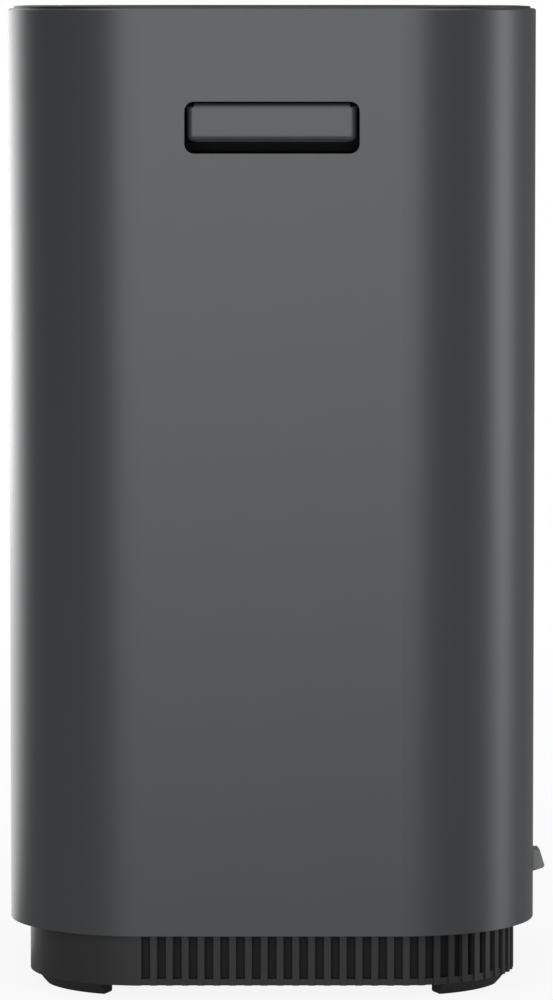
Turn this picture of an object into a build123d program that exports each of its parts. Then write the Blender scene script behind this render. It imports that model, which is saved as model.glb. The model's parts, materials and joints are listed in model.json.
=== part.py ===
from build123d import *
import os
from math import atan2, cos, degrees, hypot, pi, radians, sin, sqrt

# Air purifier tower. Millimetres, +Z up, front at -Y, back at +Y.
# The origin is on the floor, under the middle of the square casing.
# Air enters the slots of the base, rises in two side chambers, passes the two filter walls
# of a cartridge that slides out of the back, and leaves through the fan and the top grille.

# Casing
body_width = 280.0
corner_radius = 72.0
body_height = 485.0
casing_wall = 2.5
rim_chamfer = 0.8
ledge_width = 4.0
ledge_height = 3.0

# Base, its slots and the parts on its underside
base_height = 28.0
base_inset = 10.4
base_wall = 3.5
flange_height = 4.0
slot_count = 73
slot_width = 4.7
slot_lead = 2.6
slot_floor = 3.5
slot_head = 1.5
rib_proud = 1.0
plate_thickness = 2.5
screen_gap = 1.0
screen_thickness = 0.8
foot_height = 6.5
foot_inset = 1.2
foot_width = 18.0
foot_sweep = 47.0
foot_slope = 6.0
foot_end_round = 4.0
foot_round = 1.0

# Chassis posts, decks and their screws
post_reach = 48.0
post_radius = 5.0
web_thickness = 4.0
bay_floor_z = 70.0
deck_thickness = 3.0
fan_drop = 149.5
bridge_rise = 72.0
window_margin = 9.0
window_edge = 11.5
window_reach = 20.0
screw_radius = 2.0
screw_head_radius = 3.6
screw_head_height = 2.2
screw_grip = 8.0

# Side grips
grip_width = 91.0
grip_height = 27.0
grip_corner = 5.0
grip_drop = 48.0
cup_wall = 2.0
cup_depth = 36.0
cup_flange = 4.0
flap_side_gap = 1.5
flap_height = 20.0
flap_thickness = 3.2
flap_recess = 1.4
flap_top_gap = 0.8
flap_edge_round = 3.0
flap_lip = 7.5
flap_lip_thickness = 3.4
knuckle_radius = 2.2
hinge_pin_radius = 0.9

# Rear cover and filter cartridge
cover_lap = 3.0
cover_over = 1.3
cover_corner = 5.0
cover_gap = 1.0
pull_width = 60.0
pull_height = 20.0
pull_depth = 8.0
pull_drop = 18.0
pull_wall = 1.6
rail_height = 4.0
rail_width = 16.0
rail_setback = 1.5
cartridge_side_gap = 7.0
front_depth = 42.5
cartridge_wall = 3.0
cartridge_rear_gap = 9.5
spine_width = 4.0
media_setback = 2.1
outlet_slot_side = 4.0
outlet_slot_margin = 12.0
pleat_depth = 24.0
pleat_sheet = 2.4
pleat_count = 30
carbon_thickness = 5.5
prefilter_thickness = 1.4
seal_width = 8.0
seal_height = 5.0
striker_width = 12.0
striker_height = 18.0
striker_thickness = 1.0
striker_setback = 16.0
magnet_depth = 6.0
magnet_height = 22.0

# Fan and motor
eye_radius = 50.0
inlet_flange_radius = 66.0
inlet_flange_height = 2.0
inlet_lip_wall = 2.0
inlet_lip_height = 13.0
inlet_overlap = 6.0
neck_margin = 1.0
eye_clearance = 2.0
impeller_radius = 95.0
impeller_height = 54.0
impeller_sheet = 2.4
shroud_rise = 9.0
blade_count = 9
blade_sweep = 48.0
blade_bow = 19.0
blade_angle = 1.9
hub_radius = 12.0
hub_height = 16.0
hub_above = 5.0
shaft_radius = 4.0
shaft_tail = 6.0
nut_radius = 7.5
nut_height = 5.0
bridge_thickness = 3.0
bridge_disc_radius = 44.0
bridge_arm_width = 14.0
bridge_hole_radius = 15.0
damper_radius = 5.0
damper_height = 4.0
damper_circle = 28.0
damper_count = 4
motor_screw_radius = 1.5
motor_screw_head = 2.8
motor_screw_head_height = 1.8
motor_radius = 36.0
motor_height = 32.0
motor_wall = 2.5
motor_floor = 3.0
bearing_radius = 8.0
bearing_height = 5.0
bearing_wall = 3.0
stator_height = 14.0
stator_ring = 6.0
stator_bore = 17.0
tooth_count = 6
tooth_width = 6.0
coil_margin = 3.0
coil_clear = 1.0
rotor_gap = 1.0

# Top panel, outlet grille and controls
panel_gap = 0.4
panel_raise = 1.2
panel_thickness = 3.0
panel_skirt = 9.7
panel_skirt_wall = 2.0
panel_edge_round = 0.6
outlet_margin = 11.5
grille_flange = 5.0
grille_flange_height = 2.4
grille_depth = 7.0
grille_recess = 0.5
grille_disc_radius = 30.0
grille_ring_pitch = 7.2
grille_ring_wall = 1.8
grille_spokes = 16
grille_spoke_width = 2.0
grille_screw_count = 4
panel_screw_radius = 1.3
panel_screw_head = 2.4
control_setback = 25.0
button_radius = 6.5
button_flange = 1.0
button_flange_height = 1.0
button_stem_radius = 2.5
button_travel = 0.8
button_inset = 13.0
button_pitch = 20.0
lens_inset = 16.0
lens_depth = 15.0
lens_thickness = 2.0
lens_ledge = 1.5
board_drop = 10.0
board_thickness = 1.6
board_width = 168.0
board_hole_margin = 5.0
board_depth = 28.0
board_boss_radius = 3.0
switch_size = 6.0
switch_height = 4.0

# Power electronics at the front
power_width = 90.0
power_height = 130.0
power_bottom = 110.0
power_boss_length = 16.0
power_boss_radius = 3.5
power_boss_margin = 8.0
capacitor_radius = 9.0
capacitor_length = 20.0
capacitor_spread = 13.5
transformer_size = 30.0
transformer_depth = 18.0
sensor_width = 40.0
sensor_depth = 28.0
sensor_height = 14.0
sensor_setback = 14.0

# Cord gland on the back
gland_corner_gap = 10.0
gland_width = 16.0
gland_bottom = 57.3
gland_height = 11.2
gland_reach = 6.4
gland_chin_reach = 5.6
gland_chin_rise = 1.8
gland_nose_rise = 3.0
gland_shoulder_reach = 4.4
gland_shoulder_drop = 1.7
gland_brow = 3.0
gland_neck_radius = 5.4
gland_bore_radius = 3.2
gland_neck_length = 10.0
gland_nut_radius = 6.8
gland_nut_height = 4.0

# Clearances
slip = 0.2
running = 0.3
shaft_fit = 0.05
screw_fit = 0.05

# How far a cut runs past the face that it opens, and a joined piece into its neighbour
overlap = 1.0

# Levels and places that follow from the sizes above
half = body_width / 2
inner = half - casing_wall
corner_centre = half - corner_radius
base_z = foot_height
body_z = base_z + base_height
top_z = body_z + body_height
post_xy = corner_centre + post_reach / sqrt(2)
floor_top = bay_floor_z + deck_thickness
fan_deck_z = top_z - fan_drop
fan_top = fan_deck_z + deck_thickness
bridge_z = fan_deck_z + bridge_rise
bridge_top = bridge_z + bridge_thickness
panel_top = top_z + panel_raise
panel_under = panel_top - panel_thickness
ledge_top = panel_under - panel_skirt
rail_top = floor_top + rail_height
cartridge_z = rail_top + running
seal_top = fan_deck_z - running
cartridge_half = corner_centre - cartridge_side_gap
cartridge_front = -inner + front_depth
cover_width = 2 * (cartridge_half + cover_lap)
cover_bottom = rail_top
cover_height = seal_top + cover_over - cover_bottom
control_y = -half + control_setback
outlet_radius = half - control_setback - lens_depth / 2 - outlet_margin
gland_x = corner_centre - gland_corner_gap
board_boss_x = board_width / 2 - board_hole_margin
outer_button_x = board_boss_x - button_inset
inner_button_x = outer_button_x - button_pitch
lens_width = 2 * (inner_button_x - lens_inset)
button_positions = {"power": -outer_button_x, "speed": -inner_button_x, "mode": inner_button_x,
                    "timer": outer_button_x}
corners = {"front_left": (-1, -1), "front_right": (1, -1), "back_left": (-1, 1), "back_right": (1, 1)}
sides = {"right": 1, "left": -1}

os.makedirs("parts", exist_ok=True)
nodes = {}


def block(x0, x1, y0, y1, z0, z1):
    """A box between two corners."""
    middle = ((x0 + x1) / 2, (y0 + y1) / 2, (z0 + z1) / 2)
    return Pos(*middle) * Box(abs(x1 - x0), abs(y1 - y0), abs(z1 - z0))


def rod(x, y, z0, z1, radius):
    """An upright cylinder."""
    return Pos(x, y, (z0 + z1) / 2) * Cylinder(radius, z1 - z0)


def tube(x, y, z0, z1, outer, bore):
    """An upright cylinder with a bore."""
    return rod(x, y, z0, z1, outer) - rod(x, y, z0, z1, bore)


def rod_y(x, z, y0, y1, radius):
    """A cylinder that lies along Y."""
    return Pos(x, (y0 + y1) / 2, z) * Rot(90, 0, 0) * Cylinder(radius, abs(y1 - y0))


def plan(offset, z0, z1):
    """The casing's square plan, drawn in by an offset, between two levels."""
    width = body_width - 2 * offset
    sheet = RectangleRounded(width, width, corner_radius - offset)
    return Pos(0, 0, z0) * extrude(sheet, amount=z1 - z0)


def ring(outer_offset, inner_offset, z0, z1):
    """A wall that follows the casing's plan."""
    return plan(outer_offset, z0, z1) - plan(inner_offset, z0, z1)


def face_plate(width, height, radius, x0, x1, z):
    """A rounded rectangle standing square to X."""
    sheet = Plane.YZ.offset(x0) * Pos(0, z) * RectangleRounded(width, height, radius)
    return extrude(sheet, amount=x1 - x0)


def back_plate(width, height, radius, y0, y1, z):
    """A rounded rectangle standing square to Y."""
    plane = Plane(origin=(0, y1, 0), x_dir=(1, 0, 0), z_dir=(0, -1, 0))
    return extrude(plane * Pos(0, z) * RectangleRounded(width, height, radius), amount=y1 - y0)


def turned(points):
    """A ring turned about Z from its half section, given as radius and height."""
    return revolve(Plane.XZ * make_face(Polyline(*points, close=True)), axis=Axis.Z)


def save(name, shape):
    nodes[name] = shape


# Base: the ring with its slots and screw posts
wall_inner = base_inset + base_wall
slot_flat = 2 * corner_centre
slot_arc_radius = corner_radius - base_inset
slot_arc = slot_arc_radius * pi / 2
slot_path = 3 * slot_flat + 2 * slot_arc + 2 * slot_lead
slot_pitch = slot_path / slot_count


def slot_place(distance):
    """The place and turn of a slot along the path round the right side, back and left side."""
    reach = half - base_inset
    if distance < slot_flat:
        return Pos(reach, -corner_centre + distance, 0)
    distance -= slot_flat
    if distance < slot_arc:
        turn = distance / slot_arc * 90
        return Pos(corner_centre, corner_centre, 0) * Rot(0, 0, turn) * Pos(slot_arc_radius, 0, 0)
    distance -= slot_arc
    if distance < slot_flat:
        return Pos(corner_centre - distance, reach, 0) * Rot(0, 0, 90)
    distance -= slot_flat
    if distance < slot_arc:
        turn = 90 + distance / slot_arc * 90
        return Pos(-corner_centre, corner_centre, 0) * Rot(0, 0, turn) * Pos(slot_arc_radius, 0, 0)
    return Pos(-reach, corner_centre - (distance - slot_arc), 0) * Rot(0, 0, 180)


base_ring = ring(base_inset, wall_inner, base_z, body_z)
slot_bottom = base_z + slot_floor
slot_top = body_z - slot_head
slot_cut = block(-2 * base_wall, base_wall, -slot_width / 2, slot_width / 2, slot_bottom, slot_top)
notch_cut = block(-rib_proud, base_wall, -slot_width / 2, slot_width / 2, base_z - overlap, slot_bottom)
slot_tool = slot_cut + notch_cut
base_ring -= [slot_place((i + 0.5) * slot_pitch - slot_lead) * slot_tool for i in range(slot_count)]
base_ring += ring(casing_wall + slip, wall_inner, body_z, body_z + flange_height)
plate_top = base_z + plate_thickness
for sx, sy in corners.values():
    turn = Rot(0, 0, degrees(atan2(sy, sx)))
    web = block(0, corner_radius - wall_inner - post_reach + overlap, -web_thickness / 2, web_thickness / 2,
                body_z, body_z + flange_height)
    base_ring += Pos(sx * post_xy, sy * post_xy, 0) * turn * web
    base_ring += rod(sx * post_xy, sy * post_xy, plate_top, body_z + flange_height, post_radius)
base_ring -= [rod(sx * post_xy, sy * post_xy, base_z, top_z, screw_radius + screw_fit)
              for sx, sy in corners.values()]
save("base_ring", base_ring)

bottom_plate = plan(wall_inner + slip, base_z, plate_top)
bottom_plate -= [rod(sx * post_xy, sy * post_xy, 0, top_z, screw_radius + screw_fit)
                 for sx, sy in corners.values()]
save("bottom_plate", bottom_plate)
screen_offset = wall_inner + screen_gap
save("dust_screen", ring(screen_offset, screen_offset + screen_thickness, plate_top, body_z))

# Feet: curved rubber pads that follow the corners
foot_outer = corner_radius - base_inset - foot_inset


def foot(sx, sy):
    """A pad swept round the corner, with round ends and a softened lower edge."""
    spread = radians(foot_sweep / 2)
    arms = [(2 * foot_outer * cos(a), 2 * foot_outer * sin(a))
            for a in (pi / 4 - spread, pi / 4, pi / 4 + spread)]
    sector = make_face(Polyline((0, 0), *arms, close=True))
    pad = (Circle(foot_outer) - Circle(foot_outer - foot_width)) & sector
    solid = extrude(pad, amount=foot_height)
    solid = fillet(solid.edges().filter_by(Axis.Z), foot_end_round)
    solid &= Pos(0, 0, foot_height / 2) * Cone(foot_outer - foot_slope, foot_outer, foot_height)
    solid = fillet(solid.faces().sort_by(Axis.Z)[0].edges(), foot_round)
    turn = degrees(atan2(sy, sx)) - 45
    return Pos(sx * corner_centre, sy * corner_centre, 0) * Rot(0, 0, turn) * solid


def screw(x, y, seat_z, tip_z):
    """A pan head under a seat with its shank going up."""
    head = rod(x, y, seat_z - screw_head_height, seat_z, screw_head_radius)
    return head + rod(x, y, seat_z, tip_z, screw_radius)


# The screw holes lie inside the feet, so each pad has a pocket for its screw head
head_pocket = screw_head_radius + slip
for name, (sx, sy) in corners.items():
    pocket = rod(sx * post_xy, sy * post_xy, -overlap, foot_height + overlap, head_pocket)
    save("foot_" + name, foot(sx, sy) - pocket)
boss_start = body_z + flange_height
save("base_screws", Compound([screw(sx * post_xy, sy * post_xy, base_z, boss_start + screw_grip)
                              for sx, sy in corners.values()]))

# Casing: a sleeve with openings for the grips, the rear cover and the cord gland
grip_z = top_z - grip_drop - grip_height / 2
cover_z = cover_bottom + cover_height / 2
gland_z = gland_bottom + gland_height / 2
casing = plan(0, body_z, top_z)
casing = chamfer(casing.faces().sort_by(Axis.Z)[-1].edges(), rim_chamfer)
casing -= plan(casing_wall, body_z, top_z)
casing += ring(casing_wall - slip, casing_wall + ledge_width, ledge_top - ledge_height, ledge_top)
for sx, sy in corners.values():
    turn = Rot(0, 0, degrees(atan2(sy, sx)))
    web = block(0, corner_radius - casing_wall - post_reach + slip, -web_thickness / 2,
                web_thickness / 2, boss_start, bay_floor_z)
    casing += Pos(sx * post_xy, sy * post_xy, 0) * turn * web
    casing += rod(sx * post_xy, sy * post_xy, boss_start, bay_floor_z, post_radius)
    casing -= rod(sx * post_xy, sy * post_xy, boss_start - overlap, bay_floor_z, screw_radius + screw_fit)
for side in sides.values():
    casing -= face_plate(grip_width, grip_height, grip_corner, side * (inner - overlap),
                         side * (half + overlap), grip_z)
casing -= back_plate(cover_width + 2 * cover_gap, cover_height + 2 * cover_gap, cover_corner + cover_gap,
                     inner - overlap, half + overlap, cover_z)
casing -= rod_y(gland_x, gland_z, inner - overlap, half + overlap, gland_neck_radius + slip)
power_x = power_width / 2 - power_boss_margin
power_z = (power_bottom + power_boss_margin, power_bottom + power_height - power_boss_margin)
power_holes = [(x, z) for x in (-power_x, power_x) for z in power_z]
board_y = -inner + power_boss_length
for x, z in power_holes:
    casing += rod_y(x, z, -inner - slip, board_y, power_boss_radius)
    casing -= rod_y(x, z, board_y - power_boss_length / 2, board_y + overlap, motor_screw_radius + screw_fit)
save("outer_casing", casing)

# Cord gland: a small hood with a bore for the mains cord
gland_top = gland_bottom + gland_height
hood = [(half, gland_bottom), (half + gland_chin_reach, gland_bottom + gland_chin_rise),
        (half + gland_reach, gland_bottom + gland_nose_rise),
        (half + gland_shoulder_reach, gland_top - gland_shoulder_drop),
        (half + gland_brow, gland_top), (half, gland_top)]
hood_face = Plane.YZ.offset(gland_x - gland_width / 2) * make_face(Polyline(*hood, close=True))
gland = extrude(hood_face, amount=gland_width)
gland += rod_y(gland_x, gland_z, half - gland_neck_length, half + overlap, gland_neck_radius)
gland -= rod_y(gland_x, gland_z, half - gland_neck_length, half + gland_reach + overlap, gland_bore_radius)
save("cord_gland", gland)
gland_nut = rod_y(gland_x, gland_z, inner - gland_nut_height, inner, gland_nut_radius)
gland_nut -= rod_y(gland_x, gland_z, inner - gland_nut_height, inner, gland_neck_radius + screw_fit)
save("gland_nut", gland_nut)

# Side grips: a cup behind each opening, a hanging flap and its pin
pin_z = grip_z + grip_height / 2 - flap_top_gap - knuckle_radius
flap_front = half - flap_recess
pin_x = flap_front - knuckle_radius - running
flap_back = flap_front - flap_thickness
flap_top = grip_z + grip_height / 2 - flap_top_gap
flap_bottom = flap_top - flap_height
flap_z = (flap_top + flap_bottom) / 2
flap_corner = grip_corner - flap_side_gap
flap_width = grip_width - 2 * flap_side_gap
cup_back = inner - cup_depth
flange_wall = inner - flap_back + running


def grip_cup():
    """An open box whose flange lies against the inside of the casing."""
    body = face_plate(grip_width + 2 * cup_wall, grip_height + 2 * cup_wall, grip_corner + cup_wall,
                      cup_back, inner, grip_z)
    body += face_plate(grip_width + 2 * cup_flange, grip_height + 2 * cup_flange, grip_corner + cup_flange,
                       inner - flange_wall, inner, grip_z)
    body -= face_plate(grip_width, grip_height, grip_corner, cup_back + cup_wall, inner, grip_z)
    return body - rod_y(pin_x, pin_z, -body_width / 2, body_width / 2, hinge_pin_radius + screw_fit)


def grip_flap():
    """A plate with a rounded face edge that hangs from its top edge, with a finger lip along the bottom."""
    plate = face_plate(flap_width, flap_height, flap_corner, flap_back, flap_front, flap_z)
    plate = fillet(plate.faces().sort_by(Axis.X)[-1].edges(), flap_edge_round)
    plate -= block(flap_back - overlap, flap_front + overlap, -half, half, pin_z, flap_top + overlap)
    knuckle_half = grip_width / 2 - grip_corner
    plate += rod_y(pin_x, pin_z, -knuckle_half, knuckle_half, knuckle_radius)
    lip_half = flap_width / 2 - grip_corner
    plate += block(flap_back - flap_lip, flap_back + overlap, -lip_half, lip_half,
                   flap_bottom, flap_bottom + flap_lip_thickness)
    return plate - rod_y(pin_x, pin_z, -half, half, hinge_pin_radius + shaft_fit)


for name, side in sides.items():
    turn = Rot(0, 0, 0 if side > 0 else 180)
    save("grip_cup_" + name, turn * grip_cup())
    save("grip_flap_" + name, turn * grip_flap())
pin_half = grip_width / 2 + cup_flange - slip
save("grip_pins", Compound([rod_y(side * pin_x, pin_z, -pin_half, pin_half, hinge_pin_radius)
                            for side in sides.values()]))

# Filter bay: floor with two air windows, rails, catch magnets and the chassis posts
bay_floor = plan(casing_wall + slip, bay_floor_z, floor_top)
window_inner = cartridge_half + window_margin
window_outer = inner - window_edge
window_half = corner_centre + window_reach
for side in sides.values():
    bay_floor -= block(side * window_inner, side * window_outer, -window_half, window_half,
                       bay_floor_z - overlap, floor_top + overlap)
save("bay_floor", bay_floor)
rail_outer = cartridge_half - rail_setback
save("filter_rails", Compound([block(side * (rail_outer - rail_width), side * rail_outer, cartridge_front,
                                     inner - rail_setback, floor_top, rail_top) for side in sides.values()]))
striker_offset = cartridge_half - striker_setback
magnets = [block(side * striker_offset - striker_width / 2, side * striker_offset + striker_width / 2,
                 cartridge_front - running - magnet_depth, cartridge_front - running,
                 floor_top, floor_top + magnet_height) for side in sides.values()]
save("catch_magnets", Compound(magnets))
save("chassis_posts", Compound([rod(sx * post_xy, sy * post_xy, floor_top, fan_deck_z, post_radius)
                                for sx, sy in corners.values()]))

# Filter cartridge with its flush cover: slides out along +Y
cartridge_rear = inner - cartridge_rear_gap
cartridge_top = seal_top - seal_height
media_z0 = cartridge_z + cartridge_wall
media_z1 = cartridge_top - cartridge_wall
media_y0 = cartridge_front + cartridge_wall
media_y1 = cartridge_rear - cartridge_wall
frame_box = block(-cartridge_half, cartridge_half, cartridge_front, cartridge_rear,
                  cartridge_z, cartridge_top)
frame_box -= block(-half, half, media_y0, media_y1, media_z0, media_z1)
plenum_half = cartridge_half - media_setback - prefilter_thickness - carbon_thickness - pleat_depth
slot_half = plenum_half - outlet_slot_side
frame_box -= block(-slot_half, slot_half, media_y0 + outlet_slot_margin, media_y1 - outlet_slot_margin,
                   media_z1 - overlap, cartridge_top + overlap)
for side in sides.values():
    spine = pull_width / 2 + 2 * pull_wall + spine_width
    frame_box += block(side * spine, side * (spine + spine_width), cartridge_rear, inner,
                       cartridge_z, cartridge_top)
striker_z = floor_top + magnet_height - striker_height / 2 - running
strikers = [block(side * striker_offset - striker_width / 2, side * striker_offset + striker_width / 2,
                  cartridge_front, cartridge_front + striker_thickness,
                  striker_z - striker_height / 2 + cartridge_wall, striker_z + striker_height / 2)
            for side in sides.values()]
frame_box -= strikers
save("cartridge_frame", frame_box)
save("catch_strikers", Compound(strikers))


def pleat(x0, x1):
    """A folded sheet: a zigzag across the depth, with its folds upright."""
    step = (media_y1 - media_y0) / (2 * pleat_count)
    low, high = min(x0, x1), max(x0, x1) - pleat_sheet
    fold = [(low if i % 2 else high, media_y0 + i * step) for i in range(2 * pleat_count + 1)]
    back = [(x + pleat_sheet, y) for x, y in reversed(fold)]
    return Pos(0, 0, media_z0) * extrude(make_face(Polyline(*fold, *back, close=True)),
                                         amount=media_z1 - media_z0)


for name, side in sides.items():
    carbon_in = plenum_half + pleat_depth
    net_in = carbon_in + carbon_thickness
    save("hepa_pleat_" + name, pleat(side * plenum_half, side * carbon_in))
    save("carbon_pad_" + name, block(side * carbon_in, side * net_in,
                                     media_y0, media_y1, media_z0, media_z1))
    save("prefilter_net_" + name, block(side * net_in, side * (net_in + prefilter_thickness),
                                        media_y0, media_y1, media_z0, media_z1))
seal = block(-cartridge_half, cartridge_half, cartridge_front, cartridge_rear, cartridge_top, seal_top)
seal -= block(-cartridge_half + seal_width, cartridge_half - seal_width, cartridge_front + seal_width,
              cartridge_rear - seal_width, cartridge_top, seal_top)
save("cartridge_seal", seal)
pull_z = cover_bottom + cover_height - pull_drop - pull_height / 2
cover = back_plate(cover_width, cover_height, cover_corner, inner, half, cover_z)
cover += back_plate(pull_width + 2 * pull_wall, pull_height + 2 * pull_wall, cover_corner,
                    inner - pull_depth, inner, pull_z)
cover -= back_plate(pull_width, pull_height, cover_corner - pull_wall, inner - pull_depth + pull_wall,
                    half, pull_z)
save("filter_cover", cover)

# Fan deck, inlet ring, impeller and shaft
fan_deck = plan(casing_wall + slip, fan_deck_z, fan_top)
fan_deck -= rod(0, 0, fan_deck_z - overlap, fan_top + overlap, eye_radius)
save("fan_deck", fan_deck)
lip_top = fan_top + inlet_lip_height
lip_outer = eye_radius - eye_clearance
save("inlet_ring", turned([(eye_radius - slip, fan_top), (inlet_flange_radius, fan_top),
                           (inlet_flange_radius, fan_top + inlet_flange_height),
                           (eye_radius + inlet_flange_height, fan_top + inlet_flange_height),
                           (lip_outer, fan_top + 3 * inlet_flange_height), (lip_outer, lip_top),
                           (lip_outer - inlet_lip_wall, lip_top),
                           (lip_outer - inlet_lip_wall, fan_top + 2 * inlet_flange_height)]))
wheel_z = lip_top - inlet_overlap
wheel_top = wheel_z + impeller_height
wheel_eye = lip_outer + eye_clearance
neck = inlet_overlap + neck_margin
wheel = turned([(wheel_eye, wheel_z), (wheel_eye + impeller_sheet, wheel_z),
                (wheel_eye + impeller_sheet, wheel_z + neck - impeller_sheet),
                (impeller_radius, wheel_z + neck + shroud_rise - impeller_sheet),
                (impeller_radius, wheel_z + neck + shroud_rise), (wheel_eye, wheel_z + neck)])
wheel += rod(0, 0, wheel_top - impeller_sheet, wheel_top, impeller_radius)
wheel += rod(0, 0, wheel_top + hub_above - hub_height, wheel_top + hub_above, hub_radius)


def wheel_point(radius, angle):
    return (radius * cos(radians(angle)), radius * sin(radians(angle)))


def blade_face(start):
    """A backward-curved blade: one arc and its copy turned by the blade's thickness."""
    inside = wheel_eye + 2 * impeller_sheet
    outside = impeller_radius - impeller_sheet
    middle = (inside + outside) / 2
    stations = [(inside, 0), (middle, blade_bow), (outside, blade_sweep)]
    a, b, c = [wheel_point(r, start - s) for r, s in stations]
    f, e, d = [wheel_point(r, start - s + blade_angle) for r, s in stations]
    return make_face(ThreePointArc(a, b, c) + Line(c, d) + ThreePointArc(d, e, f) + Line(f, a))


blade_zone = turned([(wheel_eye, wheel_z + neck - impeller_sheet / 2),
                     (impeller_radius, wheel_z + neck + shroud_rise - impeller_sheet / 2),
                     (impeller_radius, wheel_top - impeller_sheet / 2),
                     (wheel_eye, wheel_top - impeller_sheet / 2)])
for i in range(blade_count):
    blade = extrude(blade_face(i * 360 / blade_count), amount=wheel_top)
    wheel += blade & blade_zone
wheel -= rod(0, 0, wheel_z, wheel_top + hub_above, shaft_radius)
save("impeller", wheel)

# Motor bridge on four posts, with the motor on rubber dampers
save("bridge_posts", Compound([rod(sx * post_xy, sy * post_xy, fan_top, bridge_z, post_radius)
                               for sx, sy in corners.values()]))
bridge = rod(0, 0, bridge_z, bridge_top, bridge_disc_radius)
arm_reach = hypot(post_xy, post_xy)
for turn in (45, 135):
    bridge += Rot(0, 0, turn) * block(-arm_reach, arm_reach, -bridge_arm_width / 2,
                                      bridge_arm_width / 2, bridge_z, bridge_top)
for sx, sy in corners.values():
    bridge += rod(sx * post_xy, sy * post_xy, bridge_z, bridge_top, bridge_arm_width / 2)
bridge -= rod(0, 0, bridge_z - overlap, bridge_top + overlap, bridge_hole_radius)
damper_places = [wheel_point(damper_circle, i * 360 / damper_count) for i in range(damper_count)]
motor_hole = motor_screw_radius + screw_fit
bridge -= [rod(x, y, bridge_z - overlap, bridge_top + overlap, motor_hole) for x, y in damper_places]
save("motor_bridge", bridge)
motor_z = bridge_top + damper_height
motor_top = motor_z + motor_height
save("motor_dampers", Compound([tube(x, y, bridge_top, motor_z, damper_radius, motor_hole)
                                for x, y in damper_places]))
motor_bolts = []
for x, y in damper_places:
    bolt = rod(x, y, bridge_z - motor_screw_head_height, bridge_z, motor_screw_head)
    motor_bolts.append(bolt + rod(x, y, bridge_z, motor_z + motor_floor, motor_screw_radius))
save("motor_screws", Compound(motor_bolts))
bearing_low = motor_z + motor_floor / 2
bearing_high = motor_top - motor_floor / 2 - bearing_height
motor_case = tube(0, 0, motor_z, motor_top - motor_floor, motor_radius, motor_radius - motor_wall)
motor_case += rod(0, 0, motor_z, motor_z + motor_floor, motor_radius)
motor_case += rod(0, 0, motor_z, bearing_low + bearing_height, bearing_radius + bearing_wall)
motor_case -= rod(0, 0, bearing_low, motor_top, bearing_radius + screw_fit)
motor_case -= rod(0, 0, motor_z - overlap, motor_top, bearing_radius - bearing_wall / 2)
motor_case -= [rod(x, y, motor_z - overlap, motor_z + motor_floor + overlap, motor_hole)
               for x, y in damper_places]
save("motor_case", motor_case)
end_cap = rod(0, 0, motor_top - motor_floor, motor_top, motor_radius)
end_cap += rod(0, 0, bearing_high, motor_top, bearing_radius + bearing_wall)
end_cap -= rod(0, 0, bearing_high - overlap, bearing_high + bearing_height, bearing_radius + screw_fit)
end_cap -= rod(0, 0, motor_z, motor_top + overlap, bearing_radius - bearing_wall / 2)
save("motor_end_cap", end_cap)
save("motor_bearings", Compound([tube(0, 0, z, z + bearing_height, bearing_radius, shaft_radius + shaft_fit)
                                 for z in (bearing_low, bearing_high)]))
stator_z = (bearing_low + bearing_height + bearing_high) / 2
stator_outer = motor_radius - motor_wall - screw_fit
stator_low, stator_high = stator_z - stator_height / 2, stator_z + stator_height / 2
stator = tube(0, 0, stator_low, stator_high, stator_outer, stator_outer - stator_ring)
tooth = block(stator_bore, stator_outer - stator_ring / 2, -tooth_width / 2, tooth_width / 2,
              stator_low, stator_high)
coil_in, coil_out = stator_bore + coil_clear, stator_outer - stator_ring - coil_clear
coil_half = tooth_width / 2 + coil_margin
coil = block(coil_in, coil_out, -coil_half, coil_half, stator_low - coil_margin / 2,
             stator_high + coil_margin / 2)
coil -= block(coil_in - overlap, coil_out + overlap, -tooth_width / 2, tooth_width / 2,
              stator_low, stator_high)
tooth_turns = [Rot(0, 0, 360 / tooth_count * (i + 0.5)) for i in range(tooth_count)]
for turn in tooth_turns:
    stator += turn * tooth
save("stator_core", stator)
save("stator_coils", Compound([turn * coil for turn in tooth_turns]))
save("rotor_magnet", tube(0, 0, stator_low, stator_high, stator_bore - rotor_gap, shaft_radius))
shaft_low = wheel_top + hub_above - hub_height - nut_height - shaft_tail / 2
save("motor_shaft", rod(0, 0, shaft_low, bearing_high + bearing_height, shaft_radius))
nut_top = wheel_top + hub_above - hub_height
nut = Pos(0, 0, nut_top - nut_height) * extrude(RegularPolygon(nut_radius, 6), amount=nut_height)
save("impeller_nut", nut - rod(0, 0, nut_top - nut_height, nut_top, shaft_radius))

# Top panel with its grille and controls
panel_offset = casing_wall + panel_gap
panel = plan(panel_offset, panel_under, panel_top)
panel = fillet(panel.faces().sort_by(Axis.Z)[-1].edges(), panel_edge_round)
panel += ring(panel_offset, panel_offset + panel_skirt_wall, ledge_top, panel_under)
panel -= rod(0, 0, panel_under - overlap, panel_top + overlap, outlet_radius)
for x in button_positions.values():
    panel -= rod(x, control_y, panel_under - overlap, panel_top + overlap, button_radius + running)
lens_y0, lens_y1 = control_y - lens_depth / 2, control_y + lens_depth / 2
panel -= block(-lens_width / 2 - slip, lens_width / 2 + slip, lens_y0 - slip, lens_y1 + slip,
               panel_top - lens_thickness, panel_top + overlap)
panel -= block(-lens_width / 2 + lens_ledge, lens_width / 2 - lens_ledge, lens_y0 + lens_ledge,
               lens_y1 - lens_ledge, panel_under - overlap, panel_top)
board_top = panel_under - board_drop
panel_hole = panel_screw_radius + screw_fit
for side in sides.values():
    panel += rod(side * board_boss_x, control_y, board_top, panel_under, board_boss_radius)
    panel -= rod(side * board_boss_x, control_y, board_top - overlap, panel_under, panel_hole)
grille_screw_circle = outlet_radius + grille_flange / 2
grille_screw_places = [wheel_point(grille_screw_circle, 45 + i * 360 / grille_screw_count)
                       for i in range(grille_screw_count)]
panel -= [rod(x, y, panel_under - overlap, panel_top - panel_thickness / 2, panel_hole)
          for x, y in grille_screw_places]
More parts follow.
